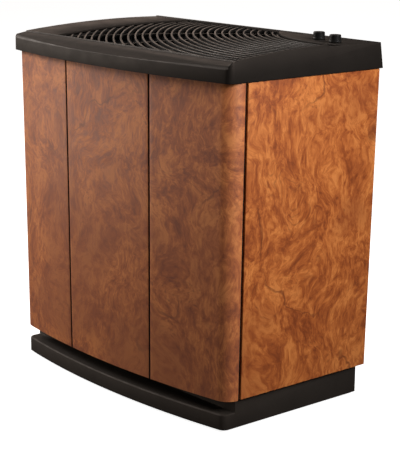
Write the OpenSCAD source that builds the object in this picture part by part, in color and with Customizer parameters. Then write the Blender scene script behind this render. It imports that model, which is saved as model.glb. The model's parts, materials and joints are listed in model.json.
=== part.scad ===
// Console cool mist humidifier: a tapered, bow-fronted cabinet on hidden casters, with a water
// reservoir and wick inside it and a lift-off deck that carries the fan, the grille and the controls.
// Millimetres, +Z up, front towards -Y. The origin is on the floor under the middle of the lid.

/* [Cabinet] */
// Overall width, across the lid
lid_w = 486; // [460:2:520]
// Depth of the lid's top, from the front of the bow to the back
lid_d = 300; // [290:1:320]
// How far the lid's front bows out between its corners
lid_bow = 22.5; // [15:0.5:28]
// Height of the lid's lower edge
lid_z = 474; // [440:1:500]
// Height of the lower edge of the panels
panel_z = 45; // [42:1:50]
// How far each side leans in between the lid and the plinth
taper = 4.8; // [0:0.1:8]
// Thickness of the burl panels
panel_t = 4; // [3:0.5:5]
// Radius of the panels' front corners
corner_r = 23; // [18:1:30]
// Distance of the two grooves from the middle of the front
groove_x = 94; // [70:1:110]
// Width of each groove
groove_w = 3.6; // [1.5:0.1:4.5]
// Width of the black gap behind each front corner
gap_w = 5; // [2:0.2:7]

/* [Plinth] */
// Gap between the plinth's skirt and the floor
skirt_z = 4; // [3:0.5:6]
// Height of the top of the kick lip
lip_z = 26; // [20:1:32]
// How far the lip stands out from the plinth
lip_d = 20; // [14:1:24]

/* [Top] */
// Height of the lid at the crown of its arch
crown_z = 510; // [500:1:530]
// Radius of the arch, seen from the side
arch_r = 1920; // [1500:10:2500]
// Width of the plain strip on the left of the grille
strip_w = 80; // [60:1:110]
// Distance from one grille arc to the next
arc_pitch = 10.47; // [9:0.1:12]
// Width of each grille arc
arc_w = 2.4; // [1.8:0.1:4]
// Radius of the control area's edge
control_r = 206.4; // [200:0.2:210]

/* [Knobs] */
// Radius of a knob
knob_r = 8.8; // [7:0.1:10]
// Height of a knob
knob_h = 10; // [8:0.5:12]

/* [Fan] */
// Radius of the fan's blade tips
fan_r = 102; // [90:1:103]
// Number of fan blades
blades = 5; // [3:1:7]

/* [Reservoir] */
// Height of the reservoir's rim
tub_top = 250; // [200:1:270]
// How far the float rises from its lowest place
float_travel = 90; // [60:1:95]

/* [Casters] */
// Radius of a caster wheel
wheel_r = 15; // [13:0.5:16]
// Distance from a swivel's axis to its wheel's axle
trail = 9; // [6:1:11]

/* [Hidden] */
$fn = 96;
eps = 0.01;

// Plan of the lid: the corners stand back from the middle of the bow, and the back leans out
// by the rake at its lower edge.
lid_half = lid_w / 2;
lid_rear = lid_d / 2;
lid_corner = -lid_d / 2 + lid_bow;
lid_wall = 3;
lid_r = 10;
lid_rake = 6;

// Plan of the panels where they meet the lid.
top_half = lid_half - 1.5;
top_corner = lid_corner + 5.5;
top_rear = lid_rear + 1.5;
panel_bow = lid_bow - 2;
wall = 3;
rim_in = 5.5;
rim_rear = 7;
rim_z = lid_z + 8;
gap_y = lid_corner + 31.5;
groove_d = 2.6;
intake_t = 7;
glue_gap = 0.05;

// Plinth.
plinth_half = top_half - taper - 6.7;
plinth_front = top_corner + taper + lip_d - 0.5;
plinth_rear = top_rear - taper - 10.5;
floor_t = 4;
lip_r = 10;
lip_bevel = 1.5;

// Top of the lid.
arch_y = 84;
band_y = lid_corner + 22.5;
band_drop = 1.2;
band_slope = 9.1;
grille_left = -lid_half + strip_w;
grille_right = lid_half - 3.8;
grille_back = lid_rear - 3.5;
grille_sink = 1.6;
grille_t = 7.5;
arc_centre = [201, 282];
crest_h = 3.7;
crest_end = 51;
ledge = 5;
gland_z = lid_z + 23;
rib_angles = [for (i = [0 : 7]) 178 + 12 * i];

// Knobs: the lid's height at each one sets where it stands.
speed_at = [166, 107];
humidity_at = [208, 96];
shaft_r = 3;

// Fan, duct and motor share one vertical axis.
fan_at = [0, 18];
duct_r = 106;
duct_t = 3;
duct_z = 309;
chassis_t = 3;
fan_z = 382;
motor_z = 428;
motor_h = 42;
axle_r = 4;
run_gap = 0.05;

// Reservoir and wick, centred under the fan.
tub_half = [206, 108];
tub_z = panel_z + 18;
tub_t = 3;
wick_half = [146, 96];
wick_t = 32;
tray_t = 4;
wick_z = tub_z + tub_t + tray_t;

// Float, in the space between the wick and the reservoir's left wall.
float_at = [-178, 18];
float_z = 100;
guide_z = 389;
rod_top = rim_z + chassis_t + 9 - float_travel;

// Casters: one at each corner of the plinth.
caster_x = 188;
caster_y = [-58, 98];
stem_r = 4;
fork_z = 2 * wheel_r + 3;
socket_z = fork_z + 3.7;

deck_screw_at = [[-200, -75], [-200, 120], [-90, -116], [90, -116], [228, 128], [140, 134]];
cabinet_screw_at = [[-217, -50], [-217, 100], [217, -50], [217, 100], [-120, -88], [120, -88]];

function bow_radius(half, bow) = (half * half + bow * bow) / (2 * bow);
function arch_z(y) = crown_z - arch_r + sqrt(arch_r * arch_r - (y - arch_y) * (y - arch_y));
function arc(cx, cy, r, a0, a1, n) = [for (i = [0 : n]) let (a = a0 + (a1 - a0) * i / n)
    [cx + r * cos(a), cy + r * sin(a)]];

// Outline with a bowed front, two rounded front corners and a square back.
function bow_plan(half, corner, bow, r, rear, n = 48) = let (
        br = bow_radius(half, bow), by = corner - bow + br,
        fx = half - r, fy = by - sqrt((br - r) * (br - r) - fx * fx),
        a = atan2(fy - by, fx))
    concat([[half, rear]], arc(fx, fy, r, 0, a, 8), arc(0, by, br, a, -180 - a, n),
        arc(-fx, fy, r, -180 - a, -180, 8), [[-half, rear]]);

// Slice of the tapered cabinet at height z, set in from the panels' outer face.
module cabinet_slice(z, inset, rear_inset) {
    lean = taper * (lid_z - z) / (lid_z - panel_z);
    translate([0, 0, z]) linear_extrude(eps)
        polygon(bow_plan(top_half - lean - inset, top_corner + lean + inset, panel_bow,
            max(corner_r - inset, 2), top_rear - lean - rear_inset));
}

module cabinet_body(z0, z1, inset, rear_inset) {
    hull() {
        cabinet_slice(z0, inset, rear_inset);
        cabinet_slice(z1 - eps, inset, rear_inset);
    }
}

module at(p, z = 0) { translate([p[0], p[1], z]) children(); }

module ring(r_out, r_in, h) {
    difference() {
        cylinder(r = r_out, h = h);
        translate([0, 0, -1]) cylinder(r = r_in, h = h + 2);
    }
}

// Rectangle with round corners, from its half sizes.
module round_rect(half, r) {
    square([2 * half[0], 2 * (half[1] - r)], center = true);
    square([2 * (half[0] - r), 2 * half[1]], center = true);
    for (sx = [-1, 1], sy = [-1, 1]) translate([sx * (half[0] - r), sy * (half[1] - r)]) circle(r);
}

module screw(head_r, head_h, body_r, length) {
    difference() {
        union() {
            cylinder(r = head_r, h = head_h, $fn = 32);
            cylinder(r = body_r, h = length, $fn = 32);
        }
        translate([0, 0, -eps]) cylinder(r = body_r * 0.8, h = head_h * 0.6, $fn = 6);
    }
}

// ---- Plinth and casters ----

module plinth_plan(half, front, rear) {
    translate([-half, front]) square([2 * half, rear - front]);
}

module lip_plan(inset) {
    polygon(bow_plan(plinth_half - inset, plinth_front - lip_d + inset, lip_d, lip_r - inset,
        plinth_front + wall));
}

// Skirt with the bowed kick lip, a floor for the reservoir and a boss for each caster.
module base_plinth() {
    color([0.12, 0.11, 0.10]) difference() {
        union() {
            translate([0, 0, skirt_z]) linear_extrude(panel_z - skirt_z)
                plinth_plan(plinth_half, plinth_front, plinth_rear);
            hull() {
                translate([0, 0, skirt_z]) linear_extrude(lip_z - lip_bevel - skirt_z) lip_plan(0);
                translate([0, 0, lip_z - eps]) linear_extrude(eps) lip_plan(lip_bevel);
            }
            for (x = [-caster_x, caster_x], y = caster_y)
                translate([x, y, socket_z]) cylinder(r = 11, h = panel_z + 15 - socket_z);
            for (y = [-70, 106]) translate([-150, y, panel_z - eps]) cube([300, 6, 18 + eps]);
        }
        difference() {
            translate([0, 0, skirt_z - 1]) linear_extrude(panel_z - floor_t - skirt_z + 1)
                plinth_plan(plinth_half - wall, plinth_front + wall, plinth_rear - wall);
            for (x = [-caster_x, caster_x], y = caster_y)
                translate([x, y, socket_z]) cylinder(r = 11, h = panel_z);
        }
        translate([0, 0, skirt_z - 1]) linear_extrude(lip_z - wall - skirt_z + 1) intersection() {
            lip_plan(wall);
            translate([-lid_w, plinth_front - 3 * lip_d]) square([2 * lid_w, 3 * lip_d]);
        }
        for (p = cabinet_screw_at) at(p, panel_z - floor_t - 1)
            cylinder(r = 1.65, h = floor_t + 2, $fn = 32);
        for (x = [-caster_x, caster_x], y = caster_y)
            translate([x, y, socket_z - 1]) cylinder(r = 6, h = panel_z + 12 - socket_z + 1);
    }
}

// Nylon sleeve with a flange, pushed up into each boss.
module caster_sockets() {
    color([0.75, 0.74, 0.70]) for (x = [-caster_x, caster_x], y = caster_y)
        translate([x, y, socket_z]) difference() {
            union() {
                translate([0, 0, -1.5]) cylinder(r = 9, h = 1.5);
                cylinder(r = 6, h = panel_z + 12 - socket_z);
            }
            translate([0, 0, -2]) cylinder(r = stem_r + run_gap, h = panel_z + 10 - socket_z);
        }
}

module caster_fork(p) {
    color([0.62, 0.62, 0.64]) difference() {
        union() {
            at(p, fork_z - 2) cylinder(r = 11, h = 4);
            at(p, fork_z) cylinder(r = stem_r, h = panel_z + 5 - fork_z, $fn = 48);
            for (s = [-1, 1]) translate([p[0] + s * 9.5 - 1, p[1], wheel_r]) {
                translate([0, -7, 0]) cube([2, trail + 12, fork_z - wheel_r]);
                translate([0, trail, 0]) rotate([0, 90, 0]) cylinder(r = 6, h = 2, $fn = 48);
            }
            translate([p[0] - 10.5, p[1] - 7, fork_z - 1]) cube([21, trail + 12, 2]);
        }
        translate([p[0] - 12, p[1] + trail, wheel_r]) rotate([0, 90, 0])
            cylinder(r = 2.02, h = 24, $fn = 48);
    }
}

module caster_axle(p) {
    color([0.75, 0.75, 0.77]) translate([p[0] - 11.5, p[1] + trail, wheel_r]) rotate([0, 90, 0]) {
        cylinder(r = 2, h = 23, $fn = 48);
        translate([0, 0, -1]) cylinder(r = 3.2, h = 1.6, $fn = 48);
        translate([0, 0, 22.4]) cylinder(r = 3.2, h = 1.6, $fn = 48);
    }
}

module caster_wheel(p) {
    color([0.10, 0.10, 0.10]) translate([p[0] - 7, p[1] + trail, wheel_r]) rotate([0, 90, 0])
        rotate_extrude() translate([2.07, 0]) polygon([
            [0, 0], [4, 0], [4, 2], [wheel_r - 6.07, 2], [wheel_r - 6.07, 0.8],
            [wheel_r - 4.07, 0], [wheel_r - 2.07, 1.5], [wheel_r - 2.07, 12.5],
            [wheel_r - 4.07, 14], [wheel_r - 6.07, 13.2], [wheel_r - 6.07, 12], [4, 12],
            [4, 14], [0, 14]]);
}

// ---- Cabinet ----

// Black moulded shell: walls behind the panels, a foot flange, and a rim that holds up the deck.
module cabinet_shell() {
    color([0.10, 0.09, 0.09]) difference() {
        union() {
            cabinet_body(panel_z, lid_z - 1, panel_t + glue_gap, 0);
            cabinet_body(lid_z - 2, rim_z, rim_in, rim_rear);
        }
        cabinet_body(panel_z + wall, lid_z - 4, panel_t + wall, wall);
        cabinet_body(lid_z - 5, rim_z + 1, rim_in + wall, rim_rear + wall);
        translate([-205, -80, panel_z - 1]) cube([410, 206, wall + 2]);
        translate([-160, lid_rear - 20, 130]) cube([320, 40, 240]);
        for (p = cabinet_screw_at) at(p, panel_z - 1) cylinder(r = 2, h = wall + 2, $fn = 32);
    }
}

// Burl panel that covers the bowed front and wraps both rounded corners, with two grooves.
module front_panel() {
    color([0.52, 0.33, 0.22]) difference() {
        cabinet_body(panel_z, lid_z - 0.5, 0, 0);
        cabinet_body(panel_z - 1, lid_z + 1, panel_t, -2);
        translate([-lid_w, gap_y - gap_w / 2, 0]) cube([2 * lid_w, lid_d, 2 * lid_z]);
        for (s = [-1, 1]) groove(s);
    }
}

// V-shaped cut that leans with the cabinet's taper.
module groove(s) {
    lean = taper * groove_x / top_half;
    face_y = top_corner - panel_bow * (1 - pow(groove_x / top_half, 2));
    translate([s * groove_x, face_y, lid_z]) rotate([atan(taper / (lid_z - panel_z)),
        s * atan(lean / (lid_z - panel_z)), 0]) translate([0, 0, -lid_z]) linear_extrude(lid_z + 20)
            polygon([[-groove_w, -groove_d], [groove_w, -groove_d], [0, groove_d]]);
}

module side_panel() {
    difference() {
        cabinet_body(panel_z, lid_z - 0.5, 0, 0);
        cabinet_body(panel_z - 1, lid_z + 1, panel_t, -2);
        translate([-lid_w, gap_y + gap_w / 2 - lid_d, 0]) cube([2 * lid_w, lid_d, 2 * lid_z]);
    }
}

module side_panel_left() {
    color([0.78, 0.45, 0.20]) intersection() {
        side_panel();
        translate([-lid_w, -lid_d, 0]) cube([lid_w, 2 * lid_d, 2 * lid_z]);
    }
}

module side_panel_right() {
    color([0.78, 0.45, 0.20]) intersection() {
        side_panel();
        translate([0, -lid_d, 0]) cube([lid_w, 2 * lid_d, 2 * lid_z]);
    }
}

// Louvred air intake that fills the opening in the back of the shell.
module intake_panel() {
    lean = atan(taper / (lid_z - panel_z));
    z0 = 130.5;
    back = top_rear - taper * (lid_z - z0) / (lid_z - panel_z);
    color([0.11, 0.10, 0.10]) translate([0, back, z0]) rotate([-lean, 0, 0]) {
        difference() {
            translate([-159.5, -intake_t, 0]) cube([319, intake_t, 239]);
            translate([-150, -20, 10]) cube([300, 40, 219]);
        }
        for (x = [-2.5, -77.5, 72.5]) translate([x, -intake_t, 5]) cube([5, 2, 229]);
        for (i = [0 : 14]) translate([-155, -intake_t + 0.4, 12 + 14.6 * i]) rotate([-35, 0, 0])
            cube([310, 1.8, 8.5]);
    }
}

// Self-tapping screws that hold the shell's foot flange down on the plinth.
module cabinet_screws() {
    color([0.55, 0.55, 0.57]) for (p = cabinet_screw_at) at(p, panel_z + wall + 2) mirror([0, 0, 1])
        screw(4, 2, 1.6, 2 + wall + floor_t - 1);
}

// ---- Water side ----

// Lift-out tub that holds the water.
module reservoir_tub() {
    color([0.80, 0.82, 0.82]) at(fan_at, tub_z) difference() {
        union() {
            linear_extrude(tub_top - tub_z) round_rect(tub_half, 28);
            translate([0, 0, tub_top - tub_z - 3]) linear_extrude(3)
                round_rect([tub_half[0] + 5, tub_half[1] + 5], 33);
        }
        translate([0, 0, tub_t]) linear_extrude(tub_top)
            round_rect([tub_half[0] - tub_t, tub_half[1] - tub_t], 25);
    }
}

// Tray with a low rim that keeps the wick's foot in place.
module wick_tray() {
    color([0.20, 0.22, 0.24]) at(fan_at, tub_z + tub_t) difference() {
        linear_extrude(tray_t + 4) round_rect([wick_half[0] + 4, wick_half[1] + 4], 44);
        translate([0, 0, tray_t]) linear_extrude(30)
            round_rect([wick_half[0] + 1, wick_half[1] + 1], 41);
        for (x = [-70, 0, 70]) translate([x, 0, -1]) cylinder(r = 24, h = 10);
    }
}

// Sleeve of absorbent paper that stands in the water; air is drawn through its walls.
module evaporative_wick() {
    color([0.86, 0.84, 0.76]) at(fan_at, wick_z) difference() {
        linear_extrude(duct_z - 1 - wick_z) round_rect(wick_half, 40);
        translate([0, 0, -1]) linear_extrude(duct_z)
            round_rect([wick_half[0] - wick_t, wick_half[1] - wick_t], 20);
    }
}

// ---- Deck ----

module lid_plan(inset, rear) {
    polygon(bow_plan(lid_half - inset, lid_corner + inset, lid_bow, lid_r - inset, rear));
}

// Everything in front of the lid's back, which leans out towards its lower edge.
module before_rake() {
    translate([-lid_w, lid_rear, crown_z]) rotate([atan(lid_rake / (crown_z - lid_z)), 0, 0])
        translate([0, -2 * lid_d, -lid_z]) cube([2 * lid_w, 2 * lid_d, 2 * lid_z]);
}

// Everything below the arch of the lid, lowered by the given amount.
module below_arch(down) {
    translate([-lid_w, arch_y, crown_z - arch_r]) rotate([0, 90, 0])
        cylinder(r = arch_r - down, h = 2 * lid_w, $fn = 360);
}

// The sloping band in front of the grille, lowered by the given amount.
module below_band(down) {
    translate([-lid_w, band_y, arch_z(band_y) - band_drop - down]) rotate([band_slope, 0, 0])
        translate([0, -lid_d, -lid_d]) cube([2 * lid_w, lid_d + 0.2, lid_d]);
}

// Rounded shoulder along the front: a torus about the bow's own axis.
module below_shoulder() {
    br = bow_radius(lid_half, lid_bow);
    translate([0, lid_corner - lid_bow + br, 0]) rotate([0, 0, -90 - 15])
        rotate_extrude(angle = 30, $fn = 360) intersection() {
            union() {
                translate([br - 13.5, lid_z + 8.5]) circle(16.5);
                translate([br - 60, lid_z - 40]) square([80, 56.7]);
                translate([br - 60, lid_z - 40]) square([46.5, 90]);
            }
            translate([br - 60, lid_z - 20]) square([62, 90]);
        }
}

module lid_block(inset) {
    intersection() {
        translate([0, 0, lid_z - (inset > 0 ? 1 : 0)]) linear_extrude(60)
            lid_plan(inset, lid_rear + (inset > 0 ? -inset : lid_rake));
        before_rake();
        union() {
            intersection() {
                below_arch(inset);
                translate([-lid_w, band_y, 0]) cube([2 * lid_w, lid_d, 2 * lid_z]);
            }
            intersection() {
                below_band(inset);
                below_shoulder();
            }
        }
    }
}

// Region of the lid that is open for the grille, without the control area.
module grille_region(inset) {
    difference() {
        translate([grille_left + inset, band_y + inset + 1])
            square([grille_right - grille_left - 2 * inset, grille_back - band_y - 2 * inset - 1]);
        translate(arc_centre) circle(control_r + inset, $fn = 180);
    }
}

// Raised rib along the right edge of the lid: round at the front corner, sloping down at the back.
module crest() {
    nose_z = arch_z(band_y) + 1;
    intersection() {
        translate([0, 0, lid_z]) linear_extrude(60) lid_plan(0, lid_rear);
        translate([lid_half - 3.8, 0, 0]) rotate([90, 0, 90]) linear_extrude(3.8) polygon(concat(
            [[lid_corner - 5, lid_z + 8]], arc(lid_corner + 9, nose_z - 9, 9, 180, 95, 6), [
            [band_y + 14, arch_z(band_y + 14) + crest_h + 1],
            [0, crown_z + crest_h + 1], [crest_end - 10, crown_z + crest_h + 1],
            [crest_end + 8, crown_z - 3], [crest_end + 8, lid_z + 8]]));
        below_arch(-crest_h);
    }
}

// Black moulded lid: arched top, skirt, raised crest on the right and bosses for the screws.
module top_lid() {
    color([0.13, 0.12, 0.11]) difference() {
        union() {
            difference() {
                lid_block(0);
                lid_block(lid_wall);
            }
            crest();
            intersection() {
                translate([-lid_half, lid_rear - 3.5, lid_z + 8]) cube([lid_w, 3.5, 60]);
                translate([-lid_w, 0, 0]) cube([2 * lid_w, lid_d, crown_z]);
            }
            intersection() {
                translate([0, 0, rim_z + 6]) linear_extrude(60) difference() {
                    grille_region(-1);
                    grille_region(ledge);
                }
                grille_layer(grille_sink + grille_t + 0.2, 2);
            }
            intersection() {
                for (p = deck_screw_at) at(p, rim_z + chassis_t) cylinder(r = 5, h = 40, $fn = 32);
                lid_block(1);
            }
        }
        intersection() {
            translate([0, 0, lid_z]) linear_extrude(90) grille_region(0);
            translate([-lid_w, arch_y, crown_z - arch_r]) rotate([0, 90, 0]) difference() {
                cylinder(r = arch_r + 30, h = 2 * lid_w, $fn = 360);
                translate([0, 0, -1])
                    cylinder(r = arch_r - grille_sink - grille_t - 0.2, h = 2 * lid_w + 2, $fn = 360);
            }
        }
        translate([0, 0, rim_z]) linear_extrude(90) grille_region(ledge);
        for (p = deck_screw_at) at(p, rim_z) cylinder(r = 1.6, h = 10, $fn = 32);
        for (p = [speed_at, humidity_at]) at(p, lid_z) cylinder(r = shaft_r + 0.4, h = 60);
        translate([150, lid_rear - 20, gland_z]) rotate([-90, 0, 0]) cylinder(r = 7.05, h = 30);
    }
}

// Grille insert: concentric arcs on lower radial ribs, in a narrow frame.
module air_grille() {
    color([0.16, 0.15, 0.14]) {
        intersection() {
            translate([0, 0, lid_z]) linear_extrude(60) intersection() {
                grille_region(0.3);
                translate(arc_centre) for (i = [1 : 33]) difference() {
                    circle(control_r + i * arc_pitch, $fn = 180);
                    circle(control_r + i * arc_pitch - arc_w, $fn = 180);
                }
                translate([grille_left + 9, -lid_d]) square(2 * lid_w);
            }
            grille_layer(grille_sink, grille_t - 2.5);
        }
        intersection() {
            translate([0, 0, lid_z]) linear_extrude(60) difference() {
                grille_region(0.3);
                difference() {
                    grille_region(3.3);
                    translate([grille_left - 1, -lid_d]) square([10, 2 * lid_d]);
                    translate(arc_centre) for (a = rib_angles) rotate(a)
                        translate([control_r - 5, -1.5]) square([2 * lid_w, 3]);
                }
            }
            grille_layer(grille_sink + 2.5, grille_t - 2.5);
        }
    }
}

module grille_layer(top, t) {
    difference() {
        below_arch(top);
        translate([-1, 0, 0]) below_arch(top + t);
    }
}

// Deck plate with the fan duct, the wick cover below it and the float's guide tube.
module fan_chassis() {
    color([0.22, 0.22, 0.23]) difference() {
        union() {
            translate([0, 0, rim_z]) linear_extrude(chassis_t)
                polygon(bow_plan(top_half - rim_in - 1, top_corner + rim_in + 1, panel_bow, 16,
                    top_rear - rim_rear - 0.5));
            at(fan_at, duct_z) cylinder(r = duct_r + duct_t, h = rim_z - duct_z + 1, $fn = 180);
            at(fan_at, duct_z) linear_extrude(3) round_rect([wick_half[0] + 4, duct_r + 6], 44);
            at(float_at, guide_z) cylinder(r = 8.5, h = rim_z - guide_z + 1, $fn = 64);
            for (a = [90, 210, 330]) at(fan_at, motor_z + motor_h - 8) rotate(a)
                translate([duct_r - 9, -7, 0]) cube([11, 14, 8]);
        }
        difference() {
            at(fan_at, duct_z + 3) cylinder(r = duct_r, h = 300, $fn = 180);
            for (a = [90, 210, 330]) at(fan_at, motor_z + motor_h - 8) rotate(a)
                translate([duct_r - 9, -7, 0]) cube([12, 14, 8]);
        }
        at(fan_at, duct_z - 1) linear_extrude(8) round_rect([wick_half[0] - wick_t - 10, 62], 20);
        at(float_at, guide_z + 3) cylinder(r = 6, h = 200, $fn = 64);
        at(float_at, guide_z - 1) cylinder(r = 3.05, h = 10, $fn = 64);
        for (a = [90, 210, 330]) at(fan_at, motor_z + motor_h - 7) rotate(a)
            translate([duct_r - 4, 0, 0]) cylinder(r = 1.6, h = 20, $fn = 32);
        for (p = deck_screw_at) at(p, rim_z - 1) cylinder(r = 2, h = 10, $fn = 32);
    }
}

// Three-armed steel spider across the duct that carries the motor.
module motor_bracket() {
    color([0.70, 0.71, 0.72]) at(fan_at, motor_z + motor_h) linear_extrude(2) difference() {
        union() {
            circle(30);
            for (a = [90, 210, 330]) rotate(a) translate([0, -7]) square([duct_r - 0.5, 14]);
        }
        circle(9);
        for (a = [90, 210, 330]) rotate(a) translate([duct_r - 4, 0]) circle(2, $fn = 32);
    }
}

// Shaded-pole motor: laminated core between two end bells, with a bearing bore for the shaft.
module fan_motor() {
    color([0.45, 0.45, 0.47]) at(fan_at, motor_z) difference() {
        union() {
            cylinder(r = 16, h = 6);
            translate([0, 0, 6]) cylinder(r = 32, h = 10);
            translate([-38, -38, 14]) cube([76, 76, 16]);
            translate([0, 0, 30]) cylinder(r = 32, h = motor_h - 30);
        }
        translate([0, 0, -1]) cylinder(r = axle_r + run_gap, h = motor_h - 6, $fn = 64);
    }
}

module motor_screws() {
    color([0.60, 0.60, 0.62]) for (a = [90, 210, 330]) at(fan_at, motor_z + motor_h + 4) rotate(a)
        translate([duct_r - 4, 0, 0]) mirror([0, 0, 1]) screw(3.6, 2, 1.55, 8);
}

// Rotary switch under the lid for the fan speed.
module speed_switch() {
    z = arch_z(speed_at[1]) - lid_wall - 17;
    color([0.20, 0.20, 0.22]) difference() {
        union() {
            translate([speed_at[0] - 12, speed_at[1] - 12, z]) cube([24, 24, 14]);
            at(speed_at, z) cylinder(r = 6, h = 16.8, $fn = 48);
        }
        at(speed_at, z + 2) cylinder(r = shaft_r + run_gap, h = 30, $fn = 64);
    }
    color([0.80, 0.62, 0.30]) for (i = [-1, 0, 1])
        translate([speed_at[0] + 6 * i - 2, speed_at[1] - 16, z + 3]) cube([4, 4.5, 0.8]);
}

// Humidity control: a wider case that also holds the sensing element.
module humidistat() {
    z = arch_z(humidity_at[1]) - lid_wall - 17;
    color([0.88, 0.86, 0.80]) difference() {
        union() {
            translate([humidity_at[0] - 18, humidity_at[1] - 8, z]) cube([36, 28, 13]);
            at(humidity_at, z) cylinder(r = 6, h = 16.8, $fn = 48);
        }
        at(humidity_at, z + 2) cylinder(r = shaft_r + run_gap, h = 30, $fn = 64);
        for (i = [-2 : 2]) translate([humidity_at[0] + 5 * i - 1, humidity_at[1] + 16, z + 3])
            cube([2, 5, 7]);
    }
}

// Small lever switch on the deck plate, tripped by the top of the float rod.
module float_switch() {
    color([0.12, 0.12, 0.13]) {
        translate([float_at[0] + 10, float_at[1] - 5, rim_z + chassis_t]) cube([20, 10, 11]);
        translate([float_at[0] - 6, float_at[1] - 2, rim_z + chassis_t + 11]) cube([36, 4, 0.8]);
    }
}

// Bush in the back of the skirt where a mains lead enters.
module cord_gland() {
    color([0.08, 0.08, 0.08]) translate([150, lid_rear - 9, gland_z]) rotate([-90, 0, 0])
        difference() {
            union() {
                cylinder(r = 7, h = 9, $fn = 48);
                cylinder(r = 8.5, h = 5.4, $fn = 48);
            }
            translate([0, 0, -1]) cylinder(r = 3.6, h = 12, $fn = 48);
        }
}

module deck_screws() {
    color([0.55, 0.55, 0.57]) for (p = deck_screw_at) at(p, rim_z - 2)
        screw(4, 2, 1.55, chassis_t + 9);
}

// ---- Fan ----

module fan_blades() {
    color([0.30, 0.31, 0.33]) at(fan_at, fan_z) difference() {
        union() {
            cylinder(r = 26, h = 30);
            intersection() {
                ring(fan_r, 20, 40);
                for (i = [0 : blades - 1]) rotate(i * 360 / blades) translate([60, 0, 16])
                    rotate([28, 0, 0]) cube([90, 62, 2.4], center = true);
            }
        }
        translate([0, 0, -1]) cylinder(r = axle_r + 0.02, h = 42, $fn = 64);
        translate([0, 0, -1]) cylinder(r = 20, h = 20);
    }
}

module fan_shaft() {
    color([0.78, 0.78, 0.80]) at(fan_at, fan_z + 8)
        cylinder(r = axle_r, h = motor_z + motor_h - 10 - fan_z - 8, $fn = 64);
}

// Push-on clip that keeps the hub on the shaft.
module fan_clip() {
    color([0.60, 0.60, 0.62]) at(fan_at, fan_z + 15) ring(8, axle_r + 0.02, 4);
}

// ---- Knobs ----

module knob(p) {
    z = arch_z(p[1]) + 0.8;
    at(p, z) difference() {
        rotate_extrude() polygon([[0, 0], [knob_r, 0], [knob_r, 1.6], [knob_r - 0.5, 2],
            [knob_r - 0.7, knob_h - 0.9], [knob_r - 1.5, knob_h], [0, knob_h]]);
        for (i = [1 : 23]) rotate(90 + i * 15) translate([knob_r + 0.1, 0, 2.4])
            cylinder(r = 0.6, h = knob_h, $fn = 24);
        translate([-0.5, 1.5, knob_h - 0.5]) cube([1, knob_r, 1]);
        translate([0, 0, -1]) cylinder(r = shaft_r + 0.02, h = knob_h - 2, $fn = 64);
    }
}

module knob_shaft(p) {
    z = arch_z(p[1]);
    at(p, z - lid_wall - 14.5) cylinder(r = shaft_r, h = lid_wall + 14.5 + knob_h - 2.4, $fn = 64);
}

module speed_knob() { color([0.06, 0.06, 0.06]) knob(speed_at); }
module speed_shaft() { color([0.78, 0.76, 0.70]) knob_shaft(speed_at); }
module humidity_knob() { color([0.06, 0.06, 0.06]) knob(humidity_at); }
module humidity_shaft() { color([0.78, 0.76, 0.70]) knob_shaft(humidity_at); }

// ---- Float ----

module float_body() {
    color([0.92, 0.92, 0.90]) at(float_at, float_z) difference() {
        rotate_extrude() polygon([[0, 0], [16, 0], [20, 4], [20, 22], [16, 26], [0, 26]]);
        translate([0, 0, 10]) cylinder(r = 3.02, h = 30, $fn = 64);
    }
}

// Rod with an end disc that stops on the floor of the guide tube.
module float_rod() {
    color([0.80, 0.80, 0.82]) {
        at(float_at, float_z + 10.1) cylinder(r = 3, h = rod_top - float_z - 10.1, $fn = 64);
        at(float_at, guide_z + 3.4) cylinder(r = 5.9, h = 4, $fn = 64);
    }
}

base_plinth();
caster_sockets();
cabinet_shell();
front_panel();
side_panel_left();
side_panel_right();
intake_panel();
reservoir_tub();
wick_tray();
evaporative_wick();
cabinet_screws();
top_lid();
air_grille();
fan_chassis();
motor_bracket();
fan_motor();
motor_screws();
speed_switch();
humidistat();
float_switch();
cord_gland();
deck_screws();
fan_blades();
fan_shaft();
fan_clip();
speed_knob();
speed_shaft();
humidity_knob();
humidity_shaft();
float_body();
float_rod();
caster_fork([-caster_x, caster_y[0]]);  // caster_fork_fl
caster_axle([-caster_x, caster_y[0]]);  // caster_axle_fl
caster_wheel([-caster_x, caster_y[0]]);  // caster_wheel_fl
caster_fork([caster_x, caster_y[0]]);  // caster_fork_fr
caster_axle([caster_x, caster_y[0]]);  // caster_axle_fr
caster_wheel([caster_x, caster_y[0]]);  // caster_wheel_fr
caster_fork([-caster_x, caster_y[1]]);  // caster_fork_rl
caster_axle([-caster_x, caster_y[1]]);  // caster_axle_rl
caster_wheel([-caster_x, caster_y[1]]);  // caster_wheel_rl
caster_fork([caster_x, caster_y[1]]);  // caster_fork_rr
caster_axle([caster_x, caster_y[1]]);  // caster_axle_rr
caster_wheel([caster_x, caster_y[1]]);  // caster_wheel_rr
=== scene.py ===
import json
from math import asin, atan2, cos, pi, radians, sin, sqrt

import bmesh
import bpy
from mathutils import Matrix, Vector

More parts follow.
